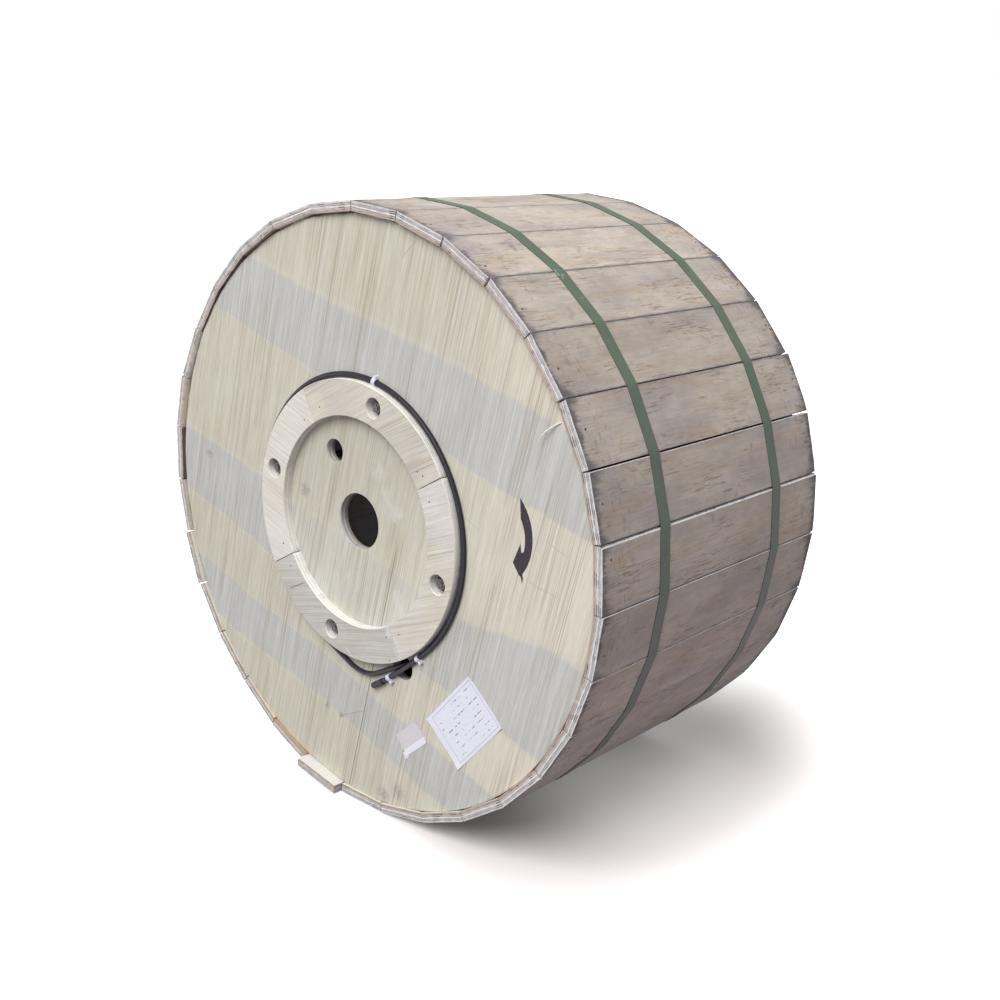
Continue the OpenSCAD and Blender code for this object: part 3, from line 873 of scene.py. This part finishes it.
def paper_sheet(name, at, up, width, height, curl, material, seed):
    """A stuck-down sheet with slight waves and corners that lift."""
    bm = bmesh.new()
    bmesh.ops.create_grid(bm, x_segments=PAPER_GRID[0], y_segments=PAPER_GRID[1], size=0.5)
    for vert in bm.verts:
        u, v = 2 * vert.co.x, 2 * vert.co.y
        wave = noise.noise(Vector((3 * u, 3 * v, seed))) + 1
        corner = max(0.0, abs(u * v) - CURL_FROM)
        lift = PAPER_GAP + PAPER_WAVE * wave + curl * corner ** 2 * CURL_STRENGTH
        vert.co = Vector((u * width / 2, v * height / 2, lift))
    up_way = Vector((up[0], 0, up[1])).normalized()
    out = Vector((0, -1, 0))
    right = up_way.cross(out)
    place = Matrix((right, up_way, out)).transposed().to_4x4()
    place.translation = Vector((at[0], FRONT, at[1]))
    sheet = add_mesh(name, bm, material, place)
    thick = sheet.modifiers.new("thickness", "SOLIDIFY")
    thick.thickness = PAPER_T


# Turning arrow: a curved band with a barbed head, in millimetres on the front face
ARROW_OUTER = [(373, 120), (400.5, 54), (381, -2)]
ARROW_HEAD = [(383, -8), (381, -18), (378, -7), (374, -5), (361, 13), (376, 47), (378, 32)]
ARROW_INNER = [(383, 35), (385, 54), (375, 87)]
ARROW_STEPS = 14
PAINT_OUT, PAINT_T = 0.1 * MM, 0.08 * MM


def arc_through(a, b, c, steps):
    """Points along the circle through three points, from a to c."""
    (ax, ay), (bx, by), (cx, cy) = a, b, c
    d = 2 * (ax * (by - cy) + bx * (cy - ay) + cx * (ay - by))
    sa, sb, sc = ax * ax + ay * ay, bx * bx + by * by, cx * cx + cy * cy
    ox = (sa * (by - cy) + sb * (cy - ay) + sc * (ay - by)) / d
    oy = (sa * (cx - bx) + sb * (ax - cx) + sc * (bx - ax)) / d
    radius = math.hypot(ax - ox, ay - oy)
    start = math.atan2(ay - oy, ax - ox)
    middle = (math.atan2(by - oy, bx - ox) - start) % (2 * math.pi)
    end = (math.atan2(cy - oy, cx - ox) - start) % (2 * math.pi)
    if middle > end:
        end -= 2 * math.pi
    turns = [start + end * k / steps for k in range(steps + 1)]
    return [(ox + radius * math.cos(t), oy + radius * math.sin(t)) for t in turns]


def painted_arrow(material):
    """A thin film of paint in the arrow's outline."""
    outline = arc_through(*ARROW_OUTER, ARROW_STEPS) + ARROW_HEAD + arc_through(*ARROW_INNER, ARROW_STEPS)
    bm = bmesh.new()
    bm.faces.new([bm.verts.new((x * MM, FRONT - PAINT_OUT, z * MM)) for x, z in outline])
    bm.normal_update()
    bmesh.ops.triangulate(bm, faces=bm.faces)
    arrow = add_mesh("turning_arrow", bm, material)
    film = arrow.modifiers.new("film", "SOLIDIFY")
    film.thickness = PAINT_T


# Materials on the solids that stay
flange_front = flange_plywood("flange_plywood_front", 1, True)
flange_back = flange_plywood("flange_plywood_back", 8, False)
zinc = zinc_steel()
clip = clip_plastic()
strap = strap_plastic()
jacket = cable_jacket()
dressing = {
    "front_flange": flange_front, "back_flange": flange_back, "barrel": barrel_board(),
    "wound_cable": cable_jacket("wound_cable_jacket"), "tie_rods": zinc, "front_washers": zinc,
    "back_washers": zinc, "front_nuts": zinc, "back_nuts": zinc, "front_strap": strap, "back_strap": strap,
    "cable_end_cap": end_cap(), "ring_clip": clip, "tail_clip_1": clip, "tail_clip_2": clip,
}
for number in range(1, SEGMENTS + 1):
    dressing[f"front_hub_ring_{number}"] = ring_plywood(number, number)
    dressing[f"back_hub_ring_{number}"] = dressing[f"front_hub_ring_{number}"]
for name, material in dressing.items():
    mesh = nodes[name].data
    mesh.materials.clear()
    mesh.materials.append(material)
for name in [n for n in dressing if "hub_ring" in n or "flange" in n]:
    soften(nodes[name], PANEL_ROUND)
for name in ("front_strap", "back_strap"):
    soften(nodes[name], STRAP_ROUND)

# Boards and the nails near their ends
batten = batten_plywood()
nails = nail_steel()
NAIL_IN, NAIL_R, NAIL_H, NAIL_SINK = 21 * MM, 2.2 * MM, 0.5 * MM, 0.3 * MM
NAIL_SPREAD, NAIL_SHIFT = 18 * MM, 4 * MM
FRONT_NAILS = {19: 27, 20: 11, 21: 8, 22: -5, 23: -4, 24: -30}
nail_mesh = bmesh.new()
for k in range(1, BOARDS + 1):
    low, high = worn_board(k, batten)
    turn = board_turn(k)
    rng = random.Random(100 + k)
    for y in (low.y + NAIL_IN, high.y - NAIL_IN):
        x = rng.uniform(-NAIL_SPREAD, NAIL_SPREAD)
        if y < 0:
            x = FRONT_NAILS.get(k, x / MM) * MM
        shifted = y + rng.uniform(-NAIL_SHIFT, NAIL_SHIFT)
        top = turn @ Vector((x, shifted, high.z - NAIL_SINK))
        dome(nail_mesh, top, turn @ Vector((0, 0, 1)), NAIL_R, NAIL_H)
add_mesh("lagging_nails", nail_mesh, nails)

# Nails that hold the ring segments, on both sides of the drum
RING_NAIL_R, RING_NAIL_H, RING_NAIL_SINK = 1.6 * MM, 0.4 * MM, 0.1 * MM
RING_NAILS = [
    (-79, 193), (-122, 163), (165, 124), (178, 119), (193, 79), (-192, -81), (-172, -120), (88, -186),
    (120, -172), (96, -227),
]
ring_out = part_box("front_hub_ring_1")[0].y
ring_nail_mesh = bmesh.new()
for x, z in RING_NAILS:
    for way in (1, -1):
        spot = Vector((x * MM, way * (ring_out + RING_NAIL_SINK), z * MM))
        dome(ring_nail_mesh, spot, Vector((0, -way, 0)), RING_NAIL_R, RING_NAIL_H)
add_mesh("ring_nails", ring_nail_mesh, nails)

# Cable end, smooth round its whole route
tail = add_curve("cable_end_smooth", cable_points(), CABLE_R, jacket)
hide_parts("cable_tail")

# Papers and paint on the front face
paper_sheet("address_label", LABEL_AT, LABEL_UP, LABEL_W, LABEL_H, LABEL_CURL,
            label_paper("label_paper", LABEL_WHITE, True), 1)
paper_sheet("small_pouch", POUCH_AT, POUCH_UP, POUCH_W, POUCH_H, POUCH_CURL,
            label_paper("pouch_film", POUCH_GREY, False), 4)
paper_sheet("pouch_tab", TAB_AT, POUCH_UP, TAB_W, TAB_H, TAB_CURL,
            label_paper("pouch_tab_film", POUCH_WHITE, False), 6)
painted_arrow(stencil_paint())

# Splinter that stands off the flange near its rim
SPLINTER = [(450, 249.5, 0.5), (441, 245, 3), (433, 239, 6), (426, 233, 8), (420, 226, 9), (413.5, 215, 10)]
SPLINTER_TAPER = [0.6, 0.9, 1.0, 0.9, 0.6, 0.2]
SPLINTER_R = 1.3 * MM
splinter_points = [(x * MM, FRONT - out * MM, z * MM) for x, z, out in SPLINTER]
add_curve("splinter", splinter_points, SPLINTER_R, splinter_wood(), SPLINTER_TAPER)

# Floor, light and camera: the floor glows white far off, and a little close to the shadow
FLOOR_Z, FLOOR_SIZE = cad_box[0].z, 30
SKY_TONE, AMBIENT = (1.0, 0.99, 0.98), 0.5
WHITE = (1, 1, 1)
KEY_FROM = Vector((1.7, -8.4, 8.8))
KEY_POWER = 1390
KEY_SIZE = 9
WHITE_AT, WHITE_SIZE = (0.25, 0.1, 0), (0.3, 0.4, 1)
WHITE_FROM, WHITE_TO = 0.8, 2.0
GLOW_AT, GLOW_SIZE, GLOW = (400, 100, 0), (600, 320, FLAT / MM), 0.16
FLOOR_TONE = (0.92, 0.88, 0.875)
FLOOR_BOUNCE = (0.198, 0.17, 0.21)


def white_to_camera(tree_nodes, links, shown, other):
    """Shader that the camera and mirrors see as shown, and that lights the object as other."""
    path = tree_nodes.new("ShaderNodeLightPath")
    seen = path.outputs["Is Camera Ray"]
    for name in ("Is Glossy Ray", "Is Transmission Ray"):
        either = tree_nodes.new("ShaderNodeMath")
        either.operation = "MAXIMUM"
        links.new(seen, either.inputs[0])
        links.new(path.outputs[name], either.inputs[1])
        seen = either.outputs[0]
    pick = tree_nodes.new("ShaderNodeMixShader")
    links.new(seen, pick.inputs[0])
    links.new(other, pick.inputs[1])
    links.new(shown, pick.inputs[2])
    return pick.outputs[0]


def make_floor():
    bm = bmesh.new()
    bmesh.ops.create_grid(bm, x_segments=1, y_segments=1, size=FLOOR_SIZE)
    mesh = bpy.data.meshes.new("floor")
    bm.to_mesh(mesh)
    bm.free()
    floor = bpy.data.objects.new("floor", mesh)
    floor.location.z = FLOOR_Z
    bpy.context.scene.collection.objects.link(floor)
    tree = Tree("floor_white")
    tree.nodes.remove(tree.shader)
    plain = tree.node("ShaderNodeBsdfDiffuse", {"Color": FLOOR_TONE})
    away = tree.length(tree.space(WHITE_SIZE, shift=WHITE_AT))
    near = tree.product(tree.spot(GLOW_AT, GLOW_SIZE), GLOW)
    strength = tree.math("ADD", tree.span(away, WHITE_FROM, WHITE_TO), near)
    glow = tree.node("ShaderNodeEmission", {"Color": WHITE, "Strength": strength})
    lit = tree.node("ShaderNodeAddShader", {0: plain.outputs[0], 1: glow.outputs[0]})
    dim = tree.node("ShaderNodeBsdfDiffuse", {"Color": FLOOR_BOUNCE})
    shown = white_to_camera(tree.nodes, tree.links, lit.outputs[0], dim.outputs[0])
    tree.links.new(shown, tree.nodes["Material Output"].inputs["Surface"])
    mesh.materials.append(tree.material)


def make_world():
    world = bpy.data.worlds.new("studio")
    world.use_nodes = True
    tree = world.node_tree
    sky = tree.nodes["Background"]
    sky.inputs["Color"].default_value = (*SKY_TONE, 1)
    sky.inputs["Strength"].default_value = AMBIENT
    white = tree.nodes.new("ShaderNodeBackground")
    white.inputs["Color"].default_value = (*WHITE, 1)
    shown = white_to_camera(tree.nodes, tree.links, white.outputs[0], sky.outputs[0])
    tree.links.new(shown, tree.nodes["World Output"].inputs["Surface"])
    bpy.context.scene.world = world


def make_key():
    light = bpy.data.lights.new("key", "AREA")
    light.shape = "DISK"
    light.size = KEY_SIZE
    light.energy = KEY_POWER
    lamp = bpy.data.objects.new("key", light)
    lamp.location = KEY_FROM
    lamp.rotation_euler = KEY_FROM.to_track_quat("Z", "Y").to_euler()
    bpy.context.scene.collection.objects.link(lamp)


def make_camera():
    data = bpy.data.cameras.new("camera")
    data.lens = LENS
    data.sensor_width = SENSOR
    camera = bpy.data.objects.new("camera", data)
    back = CAMERA_BACK.normalized()
    right = CAMERA_UP.cross(back).normalized()
    place = Matrix((right, back.cross(right), back)).transposed().to_4x4()
    place.translation = CAMERA_AT
    camera.matrix_world = place
    bpy.context.scene.collection.objects.link(camera)
    bpy.context.scene.camera = camera


make_floor()
make_world()
make_key()
make_camera()
bpy.context.scene.view_settings.view_transform = "Standard"
